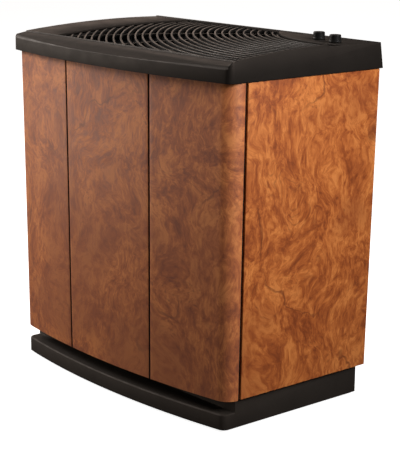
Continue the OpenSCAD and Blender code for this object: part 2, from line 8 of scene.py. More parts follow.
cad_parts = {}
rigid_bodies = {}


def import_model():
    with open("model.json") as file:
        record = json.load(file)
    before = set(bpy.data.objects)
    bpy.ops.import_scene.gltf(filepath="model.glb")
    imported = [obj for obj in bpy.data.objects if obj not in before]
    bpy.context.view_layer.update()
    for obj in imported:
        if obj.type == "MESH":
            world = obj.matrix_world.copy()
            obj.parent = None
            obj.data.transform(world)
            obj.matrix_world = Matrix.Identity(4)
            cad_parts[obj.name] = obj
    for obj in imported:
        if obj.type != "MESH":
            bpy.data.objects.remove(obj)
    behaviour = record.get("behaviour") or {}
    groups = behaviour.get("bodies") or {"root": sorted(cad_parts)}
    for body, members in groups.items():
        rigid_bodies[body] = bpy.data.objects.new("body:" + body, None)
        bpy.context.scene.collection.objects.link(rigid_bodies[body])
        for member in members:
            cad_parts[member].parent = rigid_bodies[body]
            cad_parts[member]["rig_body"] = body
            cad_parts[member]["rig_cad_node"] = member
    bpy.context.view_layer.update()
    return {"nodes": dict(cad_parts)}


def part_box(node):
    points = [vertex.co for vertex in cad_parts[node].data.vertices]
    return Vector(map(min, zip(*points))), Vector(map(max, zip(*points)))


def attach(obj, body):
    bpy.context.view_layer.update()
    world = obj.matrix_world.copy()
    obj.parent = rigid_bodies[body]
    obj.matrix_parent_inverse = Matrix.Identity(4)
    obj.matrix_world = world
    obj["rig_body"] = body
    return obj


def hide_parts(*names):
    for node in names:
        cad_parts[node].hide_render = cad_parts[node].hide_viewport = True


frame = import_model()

# ---------------------------------------------------------------- Kick plinth
# Injection-moulded skirt in warm, nearly matt black, with a bowed kick lip along the front. The
# cabinet stands on it and is screwed down through its floor. The mould eases its outer edges.

weld_gap = 2e-6
plastic_specular = 0.24
worn_polish = 0.08


def deselect():
    if bpy.context.object and bpy.context.object.mode != "OBJECT":
        bpy.ops.object.mode_set(mode="OBJECT")
    bpy.ops.object.select_all(action="DESELECT")


def activate(piece):
    deselect()
    bpy.context.view_layer.objects.active = piece
    piece.select_set(True)


def start_edit(piece):
    activate(piece)
    bpy.ops.object.mode_set(mode="EDIT")
    bpy.ops.mesh.select_all(action="SELECT")


def end_edit():
    bpy.ops.object.mode_set(mode="OBJECT")


def apply_modifier(piece, kind, **settings):
    """Adds a modifier with these settings and applies it."""
    activate(piece)
    made = piece.modifiers.new(kind.lower(), kind)
    for name, value in settings.items():
        setattr(made, name, value)
    bpy.ops.object.modifier_apply(modifier=made.name)


def smooth_by_angle(piece, degrees=32):
    activate(piece)
    bpy.ops.object.shade_smooth_by_angle(angle=radians(degrees))


def eased_copy(node, name, edge):
    """A welded copy of a CAD node with its hard edges rounded, which stands for the node."""
    source = frame["nodes"][node]
    body = source["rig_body"]
    piece = source.copy()
    piece.data = source.data.copy()
    piece.name = piece.data.name = name
    piece.parent = None
    del piece["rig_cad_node"], piece["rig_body"]
    bpy.context.scene.collection.objects.link(piece)
    start_edit(piece)
    bpy.ops.mesh.customdata_custom_splitnormals_clear()
    bpy.ops.mesh.remove_doubles(threshold=weld_gap)
    bpy.ops.mesh.dissolve_limited(angle_limit=radians(0.3))
    end_edit()
    apply_modifier(piece, "BEVEL", width=edge, segments=2, limit_method="ANGLE",
                   angle_limit=radians(35), use_clamp_overlap=True)
    smooth_by_angle(piece)
    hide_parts(node)
    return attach(piece, body)


def add_node(tree, kind, inputs=(), **settings):
    """A shader node with its settings, and its inputs as values or as links from other nodes."""
    made = tree.nodes.new("ShaderNode" + kind)
    for name, value in settings.items():
        setattr(made, name, value)
    for socket, value in dict(inputs).items():
        if isinstance(value, bpy.types.NodeSocket):
            tree.links.new(value, made.inputs[socket])
        else:
            made.inputs[socket].default_value = value
    return made


def new_group(name, inputs, outputs):
    """An empty shader node group: (tree, its input node's outputs, its output node's inputs)."""
    tree = bpy.data.node_groups.new(name, "ShaderNodeTree")
    for label, kind, value in inputs:
        made = tree.interface.new_socket(name=label, in_out="INPUT", socket_type="NodeSocket" + kind)
        if value is not None:
            made.default_value = value
    for label, kind in outputs:
        tree.interface.new_socket(name=label, in_out="OUTPUT", socket_type="NodeSocket" + kind)
    start, end = tree.nodes.new("NodeGroupInput"), tree.nodes.new("NodeGroupOutput")
    return tree, start.outputs, end.inputs


def maths(tree, operation, a, b=0.0):
    return add_node(tree, "Math", {0: a, 1: b}, operation=operation).outputs[0]


def spread(tree, value, low, high, to_low=0.0, to_high=1.0):
    """value from the range low..high mapped to to_low..to_high, and held there outside it."""
    return add_node(tree, "MapRange", {"Value": value, "From Min": low, "From Max": high,
                    "To Min": to_low, "To Max": to_high}, interpolation_type="SMOOTHSTEP").outputs[0]


def noise(tree, vector, scale, detail=2.0, roughness=0.5):
    return add_node(tree, "TexNoise", {"Vector": vector, "Scale": scale, "Detail": detail,
                    "Roughness": roughness})


# Spark-eroded grain of a moulded part: a fine pebble, with slow changes of tone and gloss.
tree, given, out = new_group("moulded_grain", [("Vector", "Vector", None), ("Size", "Float", 0.0009)],
                             [("Tone", "Float"), ("Gloss", "Float"), ("Height", "Float")])
pebble_scale = maths(tree, "DIVIDE", 1.0, given["Size"])
pebble = add_node(tree, "TexVoronoi", {"Vector": given["Vector"], "Scale": pebble_scale,
                  "Randomness": 1.0}, feature="SMOOTH_F1")
fine = noise(tree, given["Vector"], pebble_scale, 3.0, 0.6)
slow = noise(tree, given["Vector"], 14.0, 4.0, 0.55)
tree.links.new(maths(tree, "ADD", maths(tree, "MULTIPLY", slow.outputs["Fac"], 0.65),
                     maths(tree, "MULTIPLY", fine.outputs["Fac"], 0.35)), out["Tone"])
tree.links.new(noise(tree, given["Vector"], 38.0, 5.0, 0.6).outputs["Fac"], out["Gloss"])
tree.links.new(maths(tree, "ADD", maths(tree, "MULTIPLY", pebble.outputs["Distance"], 0.7),
                     maths(tree, "MULTIPLY", fine.outputs["Fac"], 0.3)), out["Height"])

# Edges: a rounded normal, and a mask along the corners, patchy where hands and cloths have polished
# them. The colour laid on this mask is partly rubbed wear and partly a painted highlight.
tree, given, out = new_group("edge_wear_and_highlight", [("Width", "Float", 0.0008)],
                             [("Mask", "Float"), ("Normal", "Vector")])
rounded = add_node(tree, "Bevel", {"Radius": given["Width"]}, samples=6)
flat = add_node(tree, "NewGeometry")
turn = add_node(tree, "VectorMath", {0: rounded.outputs["Normal"], 1: flat.outputs["Normal"]},
                operation="DOT_PRODUCT")
rub = noise(tree, add_node(tree, "TexCoord").outputs["Object"], 60.0, 4.0, 0.6)
rubbed_highlit_edge = maths(tree, "MULTIPLY", spread(tree, turn.outputs["Value"], 0.995, 0.86),
             spread(tree, rub.outputs["Fac"], 0.35, 0.62))
tree.links.new(rubbed_highlit_edge, out["Mask"])
tree.links.new(rounded.outputs["Normal"], out["Normal"])


def new_material(name):
    """(material, its tree, its Principled shader, the Object coordinates)."""
    made = bpy.data.materials.new(name)
    made.use_nodes = True
    tree = made.node_tree
    shader = tree.nodes["Principled BSDF"]
    return made, tree, shader, add_node(tree, "TexCoord").outputs["Object"]


def add_group(tree, name, inputs=()):
    """The outputs of a node that holds the named group."""
    return add_node(tree, "Group", inputs, node_tree=bpy.data.node_groups[name]).outputs


def mix(tree, share, a, b):
    """Colour between a and b. The numbers are the Mix node's sockets for colours."""
    return add_node(tree, "Mix", {0: share, 6: a, 7: b}, data_type="RGBA").outputs[2]


def tint(r, g, b):
    return (r, g, b, 1.0)


def moulded(name, dark, light, rubbed_highlit_edge, gloss, size=0.0009, depth=0.00004, width=0.0008,
            sheen=(1.0, 1.0, 1.0, 1.0)):
    """Moulded plastic or rubber: two close tones, a grain, and edges lightened to a third tone,
    partly rubbed wear and partly a painted highlight.

    gloss is the roughness range, size and depth are the grain's, width is how far an edge is
    rounded, and sheen tints the reflections.
    """
    made, tree, shader, place = new_material(name)
    grain = add_group(tree, "moulded_grain", {"Vector": place, "Size": size})
    edge = add_group(tree, "edge_wear_and_highlight", {"Width": width})
    body = mix(tree, spread(tree, grain["Tone"], 0.3, 0.7), dark, light)
    # Edges mixed to the third tone: partly rubbed wear, partly a painted highlight line.
    tree.links.new(mix(tree, edge["Mask"], body, rubbed_highlit_edge), shader.inputs["Base Color"])
    rough = spread(tree, grain["Gloss"], 0.3, 0.7, gloss[0], gloss[1])
    polish = maths(tree, "MULTIPLY", edge["Mask"], worn_polish)
    tree.links.new(maths(tree, "SUBTRACT", rough, polish), shader.inputs["Roughness"])
    bump = add_node(tree, "Bump", {"Height": grain["Height"], "Normal": edge["Normal"],
                    "Strength": 1.0, "Distance": depth})
    tree.links.new(bump.outputs["Normal"], shader.inputs["Normal"])
    shader.inputs["Specular Tint"].default_value = sheen
    shader.inputs["Specular IOR Level"].default_value = plastic_specular
    return made


def dress(piece, material):
    """Gives a piece one material all over, and a new piece its first material slot."""
    if piece.data.materials:
        for held in piece.material_slots:
            held.material = material
    else:
        piece.data.materials.append(material)
    return piece


def dress_nodes(material, *nodes):
    for node in nodes:
        dress(frame["nodes"][node], material)


warm = tint(1.0, 0.80, 0.68)
plinth_black = moulded("plinth_black", tint(0.0150, 0.0122, 0.0104), tint(0.0220, 0.0182, 0.0156),
                       tint(0.040, 0.034, 0.030), (0.62, 0.74), size=0.0011, sheen=warm)
dress(eased_copy("base_plinth", "kick_plinth", 0.0009), plinth_black)

# ------------------------------------------------------------------- Casters
# Four swivel casters pushed up into nylon sockets: a zinc-plated steel fork, a riveted axle and a
# wheel with a rubber tread. Plating leaves a faint spangle and thin drawing marks on the steel.

tree, given, out = new_group("plated_steel", [("Vector", "Vector", None), ("Grain", "Float", 900.0)],
                             [("Tone", "Float"), ("Gloss", "Float"), ("Height", "Float")])
spangle = add_node(tree, "TexVoronoi", {"Vector": given["Vector"], "Scale": 420.0})
cloud = noise(tree, given["Vector"], 90.0, 3.0)
stretch = add_node(tree, "VectorMath", {0: given["Vector"], 1: (1.0, 1.0, 0.08)},
                   operation="MULTIPLY")
drawn = noise(tree, stretch.outputs["Vector"], given["Grain"], 3.0, 0.6)
tree.links.new(maths(tree, "ADD", maths(tree, "MULTIPLY", spangle.outputs["Distance"], 0.5),
                     maths(tree, "MULTIPLY", cloud.outputs["Fac"], 0.5)), out["Tone"])
tree.links.new(maths(tree, "ADD", maths(tree, "MULTIPLY", drawn.outputs["Fac"], 0.6),
                     maths(tree, "MULTIPLY", cloud.outputs["Fac"], 0.4)), out["Gloss"])
tree.links.new(drawn.outputs["Fac"], out["Height"])


def steel(name, dark, light, gloss, grain=900.0):
    """Plated or turned steel with a spangle, drawing marks and brighter edges, which are partly
    worn plating and partly a painted highlight.
    """
    made, tree, shader, place = new_material(name)
    plate = add_group(tree, "plated_steel", {"Vector": place, "Grain": grain})
    edge = add_group(tree, "edge_wear_and_highlight", {"Width": 0.0004})
    body = mix(tree, spread(tree, plate["Tone"], 0.2, 0.7), dark, light)
    # Edges mixed to a pale tint: partly worn plating, partly a painted highlight line.
    tree.links.new(mix(tree, edge["Mask"], body, tint(0.86, 0.86, 0.88)), shader.inputs["Base Color"])
    tree.links.new(spread(tree, plate["Gloss"], 0.3, 0.7, gloss[0], gloss[1]),
                   shader.inputs["Roughness"])
    bump = add_node(tree, "Bump", {"Height": plate["Height"], "Normal": edge["Normal"],
                    "Strength": 0.6, "Distance": 0.00002})
    tree.links.new(bump.outputs["Normal"], shader.inputs["Normal"])
    shader.inputs["Metallic"].default_value = 1.0
    return made


zinc = steel("zinc_plate", tint(0.52, 0.53, 0.55), tint(0.70, 0.71, 0.72), (0.28, 0.42))
bright_steel = steel("bright_steel", tint(0.56, 0.56, 0.58), tint(0.72, 0.72, 0.74), (0.2, 0.34), 1500.0)
nylon = moulded("natural_nylon", tint(0.55, 0.52, 0.44), tint(0.66, 0.63, 0.55),
                tint(0.75, 0.72, 0.65), (0.38, 0.5), depth=0.00002)
tyre = moulded("tyre_rubber", tint(0.014, 0.014, 0.014), tint(0.026, 0.026, 0.025),
               tint(0.06, 0.06, 0.06), (0.62, 0.78), size=0.0006, depth=0.00005)

dress_nodes(nylon, "caster_sockets")
for corner in ("fl", "fr", "rl", "rr"):
    dress_nodes(zinc, "caster_fork_" + corner)
    dress_nodes(bright_steel, "caster_axle_" + corner)
    dress_nodes(tyre, "caster_wheel_" + corner)

# -------------------------------------------------------------- Cabinet shell
# Black high-impact polystyrene shell that carries the burl boards. It shows in the slots between
# the boards, at the back, and inside when the deck is lifted.

shell_black = moulded("shell_black", tint(0.010, 0.009, 0.008), tint(0.016, 0.014, 0.013),
                      tint(0.05, 0.048, 0.045), (0.5, 0.62), size=0.0013, depth=0.00006,
                      sheen=warm)
dress_nodes(shell_black, "cabinet_shell")

# ------------------------------------------------------------ Bowed burl front
# One bowed board wrapped round both front corners, faced with a satin burl print. Two V grooves,
# painted black, divide it into three. It is modelled as a profile swept round the bow.

board = 0.004
bow = 0.0205
corner_radius = 0.023
lean = 0.0048
groove_at = 0.094
groove_half = 0.0018
groove_depth = 0.0026
groove_edge = 0.0004
board_edge = 0.0005
near = 1e-5
slot_low, slot_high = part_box("front_panel")
half = slot_high.x
front_y, rear_y = slot_low.y, slot_high.y
bow_radius = (half ** 2 + bow ** 2) / (2 * bow)
bow_y = front_y + bow_radius
corner_x = half - corner_radius
corner_y = bow_y - sqrt((bow_radius - corner_radius) ** 2 - corner_x ** 2)
bow_sweep = atan2(corner_y - bow_y, corner_x) + pi / 2


def pick(piece, test, kind="VERT"):
    """In edit mode, selects the vertices, edges or faces whose middle passes the test."""
    bpy.ops.mesh.select_mode(type=kind)
    bpy.ops.mesh.select_all(action="DESELECT")
    mesh = bmesh.from_edit_mesh(piece.data)
    if kind == "VERT":
        found = [(v, v.co) for v in mesh.verts]
    elif kind == "EDGE":
        found = [(e, (e.verts[0].co + e.verts[1].co) / 2) for e in mesh.edges]
    else:
        found = [(f, f.calc_center_median()) for f in mesh.faces]
    for element, middle in found:
        if test(middle, element):
            element.select_set(True)
    mesh.select_flush_mode()
    bmesh.update_edit_mesh(piece.data)


def sweep(steps, angle, centre):
    bpy.ops.mesh.spin(steps=steps, angle=-angle, center=centre, axis=(0, 0, 1))


deselect()
middle_z = (slot_low.z + slot_high.z) / 2
bpy.ops.mesh.primitive_plane_add(size=1, location=(0, front_y + board / 2, middle_z),
                                 rotation=(0, pi / 2, 0))
burl_front = bpy.context.object
burl_front.name = burl_front.data.name = "burl_front"
burl_front.scale = (slot_high.z - slot_low.z, board, 1)
bpy.ops.object.transform_apply(location=True, rotation=True, scale=True)
start_edit(burl_front)
bpy.ops.mesh.delete(type="ONLY_FACE")
bpy.ops.mesh.select_all(action="SELECT")
groove_start = asin((groove_at - groove_half) / bow_radius)
groove_mid = asin(groove_at / bow_radius)
groove_end = asin((groove_at + groove_half) / bow_radius)
sweep(16, groove_start, (0, bow_y, 0))
sweep(1, groove_mid - groove_start, (0, bow_y, 0))
sweep(1, groove_end - groove_mid, (0, bow_y, 0))
sweep(22, bow_sweep - groove_end, (0, bow_y, 0))
sweep(18, pi / 2 - bow_sweep, (corner_x, corner_y, 0))
bpy.ops.mesh.extrude_region_move(TRANSFORM_OT_translate={"value": (0, rear_y - corner_y, 0)})
bpy.ops.mesh.edge_face_add()


def outside(middle, depth):
    """True for a point in the outer part of the board."""
    return Vector((middle.x, middle.y - bow_y)).length > bow_radius - depth


pick(burl_front, lambda m, v: abs(m.x - groove_at) < near and outside(m, board / 2))
inward = Vector((-sin(groove_mid), cos(groove_mid), 0)) * groove_depth
bpy.ops.transform.translate(value=inward)
burl_front.data.materials.append(None)
burl_front.data.materials.append(None)
pick(burl_front, lambda m, f: abs(m.x - groove_at) < groove_half and outside(m, board * 0.6)
     and abs(f.normal.z) < 0.5, "FACE")
burl_front.active_material_index = 1
bpy.ops.object.material_slot_assign()
pick(burl_front, lambda m, e: abs(abs(m.x - groove_at) - groove_half) < near and outside(m, near)
     and abs(e.verts[0].co.z - e.verts[1].co.z) > 0.1, "EDGE")
bpy.ops.mesh.bevel(offset=groove_edge, segments=2, affect="EDGES", material=0)
end_edit()
apply_modifier(burl_front, "MIRROR", use_axis=(True, False, False), merge_threshold=near)

# The board leans in towards the foot: its corner keeps its rear edge, and the rest moves back.
start_edit(burl_front)
turn_y = corner_y - corner_radius * cos(bow_sweep)
squeeze = (rear_y - turn_y - lean) / (rear_y - turn_y)
foot_z = slot_low.z + 1e-4
pick(burl_front, lambda m, v: m.z < foot_z and abs(m.x) > corner_x)
bpy.ops.transform.resize(value=(1, squeeze, 1), center_override=(0, rear_y, 0))
pick(burl_front, lambda m, v: m.z < foot_z and abs(m.x) <= corner_x)
bpy.ops.transform.translate(value=(0, lean, 0))
pick(burl_front, lambda m, v: m.z < foot_z)
bpy.ops.transform.resize(value=((half - lean) / half, 1, 1), center_override=(0, 0, 0))
bpy.ops.mesh.select_all(action="SELECT")
bpy.ops.mesh.normals_make_consistent(inside=False)
end_edit()
apply_modifier(burl_front, "BEVEL", width=board_edge, segments=2, limit_method="ANGLE",
               angle_limit=radians(60), use_clamp_overlap=True)
smooth_by_angle(burl_front, 28)

# Burl figure: flowing growth lines bent round knots, clusters of small eyes, and short flecks.
tree, given, out = new_group("burl_figure", [("Vector", "Vector", None), ("Seed", "Float", 0.0)],
                             [("Tone", "Float"), ("Line", "Float"), ("Eyes", "Float"),
                              ("Cloud", "Float"), ("Fleck", "Float"), ("Height", "Float")])
shift = add_node(tree, "CombineXYZ", {"X": given["Seed"], "Y": given["Seed"], "Z": given["Seed"]})
start = add_node(tree, "VectorMath", {0: given["Vector"], 1: shift.outputs[0]}, operation="ADD")


def wander(tree, vector, scale, reach, detail=2.0):
    """vector pushed about by a noise, by up to about half of reach."""
    push = noise(tree, vector, scale, detail)
    centred = add_node(tree, "VectorMath", {0: push.outputs["Color"], 1: (0.5, 0.5, 0.5)},
                       operation="SUBTRACT")
    scaled = add_node(tree, "VectorMath", {0: centred.outputs["Vector"], "Scale": reach},
                      operation="SCALE")
    return add_node(tree, "VectorMath", {0: vector, 1: scaled.outputs["Vector"]},
                    operation="ADD").outputs["Vector"]


# The figure's space is bent three times, from broad swirls down to the crinkle of the fibres.
slow_bend = wander(tree, start.outputs["Vector"], 5.0, 0.16)
bend = wander(tree, slow_bend, 22.0, 0.036)
crinkle = wander(tree, bend, 85.0, 0.010, 3.0)

# Growth lines: contours of a soft noise that rises round the knots, drawn only in places.
knots = add_node(tree, "TexVoronoi", {"Vector": bend, "Scale": 8.0}, feature="F1")
near_knot = spread(tree, knots.outputs["Distance"], 0.40, 0.04)
field = maths(tree, "ADD", noise(tree, crinkle, 6.0, 1.0).outputs["Fac"],
              maths(tree, "MULTIPLY", near_knot, 0.16))
rings = maths(tree, "SINE", maths(tree, "MULTIPLY", field, 210.0))
line_area = maths(tree, "MAXIMUM", spread(tree, noise(tree, bend, 9.0, 2.0).outputs["Fac"], 0.52, 0.66),
                  maths(tree, "MULTIPLY", near_knot, 0.9))
lines = maths(tree, "MULTIPLY", spread(tree, rings, 0.55, 1.0), line_area)

# Creases: a few long, thin lines where a broad noise crosses its middle value.
drift = noise(tree, crinkle, 4.2, 2.0, 0.4)
crease = spread(tree, maths(tree, "ABSOLUTE", maths(tree, "SUBTRACT", drift.outputs["Fac"], 0.5)),
                0.0075, 0.001)
crease = maths(tree, "MULTIPLY", crease,
               spread(tree, noise(tree, bend, 14.0, 2.0).outputs["Fac"], 0.42, 0.60))

# Mottles, broad clouds and short flecks, and the pin-sized eyes that gather in patches.
cloud = noise(tree, crinkle, 27.0, 6.0, 0.68)
wide_cloud = noise(tree, slow_bend, 5.5, 3.0)
flow = add_node(tree, "VectorMath", {0: crinkle, 1: (1.0, 1.0, 0.36)}, operation="MULTIPLY")
fleck = noise(tree, flow.outputs["Vector"], 170.0, 4.0, 0.66)
pins = add_node(tree, "TexVoronoi", {"Vector": crinkle, "Scale": 130.0}, feature="F1")
pin_area = spread(tree, noise(tree, bend, 12.0, 3.0).outputs["Fac"], 0.54, 0.66)
eyes = maths(tree, "MULTIPLY", spread(tree, pins.outputs["Distance"], 0.36, 0.06), pin_area)
knot_core = maths(tree, "MULTIPLY", spread(tree, knots.outputs["Distance"], 0.13, 0.03),
                  spread(tree, noise(tree, bend, 30.0, 3.0).outputs["Fac"], 0.42, 0.62))

tone = maths(tree, "ADD", maths(tree, "MULTIPLY", cloud.outputs["Fac"], 0.50),
             maths(tree, "MULTIPLY", fleck.outputs["Fac"], 0.38))
tree.links.new(maths(tree, "ADD", tone, maths(tree, "MULTIPLY", wide_cloud.outputs["Fac"], 0.12)),
               out["Tone"])
tree.links.new(maths(tree, "MAXIMUM", maths(tree, "MULTIPLY", lines, 0.55), crease), out["Line"])
tree.links.new(maths(tree, "MAXIMUM", eyes, knot_core), out["Eyes"])
tree.links.new(wide_cloud.outputs["Fac"], out["Cloud"])
tree.links.new(fleck.outputs["Fac"], out["Fleck"])
tree.links.new(maths(tree, "SUBTRACT", maths(tree, "MULTIPLY", fleck.outputs["Fac"], 0.5),
                     maths(tree, "MULTIPLY", lines, 0.5)), out["Height"])


def burl(name, seed, painted_reflection_share):
    """Satin burl facing: warm tones from a ramp, darker lines, eyes and clouds on them, and a
    share of pale colour over it all, which is a painted reflection of white light.
    """
    made, tree, shader, place = new_material(name)
    figure = add_group(tree, "burl_figure", {"Vector": place, "Seed": seed})
    ramp = add_node(tree, "ValToRGB", {"Fac": figure["Tone"]})
    stops = ramp.color_ramp
    stops.interpolation = "B_SPLINE"
    for at, colour in ((0.38, tint(0.19, 0.040, 0.010)), (0.455, tint(0.35, 0.084, 0.018)),
                       (0.515, tint(0.49, 0.136, 0.029)), (0.585, tint(0.68, 0.235, 0.058))):
        stops.elements.new(at).color = colour
    stops.elements.remove(stops.elements[0])
    stops.elements.remove(stops.elements[-1])
    body = mix(tree, maths(tree, "MULTIPLY", figure["Line"], 0.6), ramp.outputs["Color"],
               tint(0.12, 0.026, 0.009))
    body = mix(tree, maths(tree, "MULTIPLY", figure["Eyes"], 0.55), body, tint(0.11, 0.026, 0.010))
    body = mix(tree, spread(tree, figure["Cloud"], 0.48, 0.66, 0.0, 0.5), body,
               tint(0.27, 0.066, 0.018))
    # Pale veil over the figure in the given share: a painted reflection of white light.
    body = mix(tree, painted_reflection_share, body, tint(0.44, 0.27, 0.21))
    tree.links.new(body, shader.inputs["Base Color"])
    tree.links.new(spread(tree, figure["Fleck"], 0.3, 0.7, 0.46, 0.58), shader.inputs["Roughness"])
    edge = add_group(tree, "edge_wear_and_highlight", {"Width": 0.0006})
    bump = add_node(tree, "Bump", {"Height": figure["Height"], "Normal": edge["Normal"],
                    "Strength": 0.5, "Distance": 0.00008})
    tree.links.new(bump.outputs["Normal"], shader.inputs["Normal"])
    shader.inputs["Specular IOR Level"].default_value = 0.3
    return made


groove_paint = moulded("groove_paint", tint(0.006, 0.005, 0.005), tint(0.010, 0.009, 0.008),
                       tint(0.03, 0.025, 0.02), (0.6, 0.75), size=0.0006)
# The front facing takes a painted reflection of white light; the side boards take none.
burl_front.material_slots[0].material = burl("burl_front_facing", 3.1, 0.13)
burl_front.material_slots[1].material = groove_paint
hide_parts("front_panel")
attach(burl_front, "cabinet")

# ----------------------------------------------------------------- Burl sides
# Flat boards with the same facing but without its painted reflection, one on each side, set off
# from the front by a black slot.
# Each is cut from a block, leans in towards its foot, and has its arrises eased.

side_edge = 0.0007
for side, hand, seed in ((-1, "left", 8.4), (1, "right", 11.7)):
    node = "side_panel_" + hand
    low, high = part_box(node)
    middle = (low + high) / 2
    deselect()
    bpy.ops.mesh.primitive_cube_add(size=1, location=(side * (half - board / 2), middle.y, middle.z))
    panel = bpy.context.object
    panel.name = panel.data.name = "burl_side_" + hand
    panel.scale = (board, high.y - low.y, high.z - low.z)
    bpy.ops.object.transform_apply(location=True, rotation=True, scale=True)
    start_edit(panel)
    pick(panel, lambda m, v: m.z < middle.z)
    bpy.ops.transform.translate(value=(-side * lean, 0, 0))
    pick(panel, lambda m, v: m.z < middle.z and m.y > middle.y)
    bpy.ops.transform.translate(value=(0, -lean, 0))
    pick(panel, lambda m, e: True, "EDGE")
    bpy.ops.mesh.bevel(offset=side_edge, segments=3, affect="EDGES")
    end_edit()
    smooth_by_angle(panel)
    dress(panel, burl(panel.name + "_facing", seed, 0.0))
    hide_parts(node)
    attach(panel, "cabinet")

# --------------------------------------------------------------- Rear intake
# Black louvred grille, moulded in the shell's plastic and clipped into the opening in its back. The
# fan draws the room's air in through it.

dress_nodes(shell_black, "intake_panel")

# ------------------------------------------------------------ Water reservoir
# Lift-out tub in milky polypropylene, which lets a little light through. A dark tray on its floor
# locates the wick.

tub_plastic = moulded("milky_polypropylene", tint(0.56, 0.60, 0.61), tint(0.66, 0.69, 0.70),
                      tint(0.75, 0.77, 0.78), (0.30, 0.42), size=0.0016, depth=0.00003)
tub_plastic.node_tree.nodes["Principled BSDF"].inputs["Subsurface Weight"].default_value = 0.15
tray_plastic = moulded("tray_plastic", tint(0.035, 0.040, 0.045), tint(0.050, 0.056, 0.062),
                       tint(0.10, 0.11, 0.12), (0.4, 0.5))
dress_nodes(tub_plastic, "reservoir_tub")
dress_nodes(tray_plastic, "wick_tray")

# ----------------------------------------------------------- Evaporative wick
# Sleeve of absorbent paper, pleated and bent into a rounded box that stands on the tray. It is
# modelled as one strip of folds wrapped round the tray's outline.

fold_depth = 0.030
fold_pitch = 0.0052
wick_corner = 0.040
wick_inset = 0.001
paper_thickness = 0.0009
wick_low, wick_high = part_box("evaporative_wick")
wick_size, wick_middle = wick_high - wick_low, (wick_low + wick_high) / 2
wick_foot = (wick_middle.x, wick_middle.y, wick_low.z)
wick_plan = (wick_size.x - 2 * wick_inset, wick_size.y - 2 * wick_inset)
deselect()
bpy.ops.mesh.primitive_plane_add(size=1, location=wick_foot)
wick = bpy.context.object
wick.name = wick.data.name = "pleated_wick"
wick.scale = (*wick_plan, 1)
bpy.ops.object.transform_apply(location=True, rotation=True, scale=True)
start_edit(wick)
bpy.ops.mesh.bevel(offset=wick_corner, segments=12, affect="VERTICES")
bpy.ops.mesh.delete(type="ONLY_FACE")
for straight in (wick_plan[0] - 2 * wick_corner, wick_plan[1] - 2 * wick_corner):
    pick(wick, lambda m, e: abs(e.calc_length() - straight) < 0.001, "EDGE")
    bpy.ops.mesh.subdivide(number_cuts=2 * round(straight / (2 * fold_pitch)) - 1)

# Every second point of the outline is drawn in, which makes the folds.
bpy.ops.mesh.select_mode(type="VERT")
bpy.ops.mesh.select_all(action="DESELECT")
outline = bmesh.from_edit_mesh(wick.data)
outline.verts.ensure_lookup_table()
here, last = outline.verts[0], None
for fold in range(len(outline.verts)):
    here.select_set(fold % 2 == 1)
    ahead = [edge.other_vert(here) for edge in here.link_edges]
    here, last = (ahead[0] if ahead[0] is not last else ahead[1]), here
bmesh.update_edit_mesh(wick.data)
bpy.ops.transform.resize(value=(1 - 2 * fold_depth / wick_size.x, 1 - 2 * fold_depth / wick_size.y, 1),
                         center_override=wick_foot)
bpy.ops.mesh.select_all(action="SELECT")
bpy.ops.mesh.extrude_region_move(TRANSFORM_OT_translate={"value": (0, 0, wick_size.z)})
bpy.ops.mesh.select_all(action="SELECT")
bpy.ops.mesh.normals_make_consistent(inside=False)
end_edit()
apply_modifier(wick, "SOLIDIFY", thickness=paper_thickness, offset=0.0)

wick_paper, tree, shader, place = new_material("wick_paper")
fibre = noise(tree, place, 900.0, 4.0, 0.65)
soak = noise(tree, place, 26.0, 3.0)
paper = mix(tree, spread(tree, fibre.outputs["Fac"], 0.3, 0.7), tint(0.60, 0.55, 0.42),
            tint(0.76, 0.72, 0.60))
tree.links.new(mix(tree, spread(tree, soak.outputs["Fac"], 0.5, 0.75, 0.0, 0.3), paper,
                   tint(0.46, 0.40, 0.28)), shader.inputs["Base Color"])
tree.links.new(spread(tree, fibre.outputs["Fac"], 0.3, 0.7, 0.8, 0.95), shader.inputs["Roughness"])
bump = add_node(tree, "Bump", {"Height": fibre.outputs["Fac"], "Strength": 0.8, "Distance": 0.0002})
tree.links.new(bump.outputs["Normal"], shader.inputs["Normal"])
dress(wick, wick_paper)
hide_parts("evaporative_wick")
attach(wick, frame["nodes"]["evaporative_wick"]["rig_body"])

# ------------------------------------------------------------- Cabinet screws
# Self-tapping screws with hexagon sockets, in bright steel. They hold the shell down to the
# plinth's floor.

dress_nodes(bright_steel, "cabinet_screws")

# -------------------------------------------------------------------- Top lid
# Moulded lid, a little darker, smoother and finer grained than the plinth: an arched deck, a
# rounded front shoulder over a short skirt, and a low crest along the right.

lid_black = moulded("lid_black", tint(0.0100, 0.0085, 0.0075), tint(0.0145, 0.0125, 0.0110),
                    tint(0.035, 0.030, 0.027), (0.50, 0.62), size=0.0008, depth=0.00003,
                    sheen=warm)
dress(eased_copy("top_lid", "moulded_lid", 0.0008), lid_black)

# ------------------------------------------------------------ Discharge grille
# Concentric arcs carried on radial ribs, moulded in one piece and dropped into the lid. It is
# glossier than the lid, with thinly eased edges.

grille_black = moulded("grille_black", tint(0.0095, 0.0085, 0.0078), tint(0.0140, 0.0125, 0.0115),
                       tint(0.06, 0.055, 0.05), (0.34, 0.44), size=0.0007, depth=0.00003,
                       sheen=tint(1.0, 0.92, 0.86))
dress(eased_copy("air_grille", "arc_grille", 0.0006), grille_black)

# -------------------------------------------------------- Fan deck and motor
# Charcoal deck plate with the duct and the float's guide tube. A galvanised spider carries a
# shaded-pole motor in its mouth.

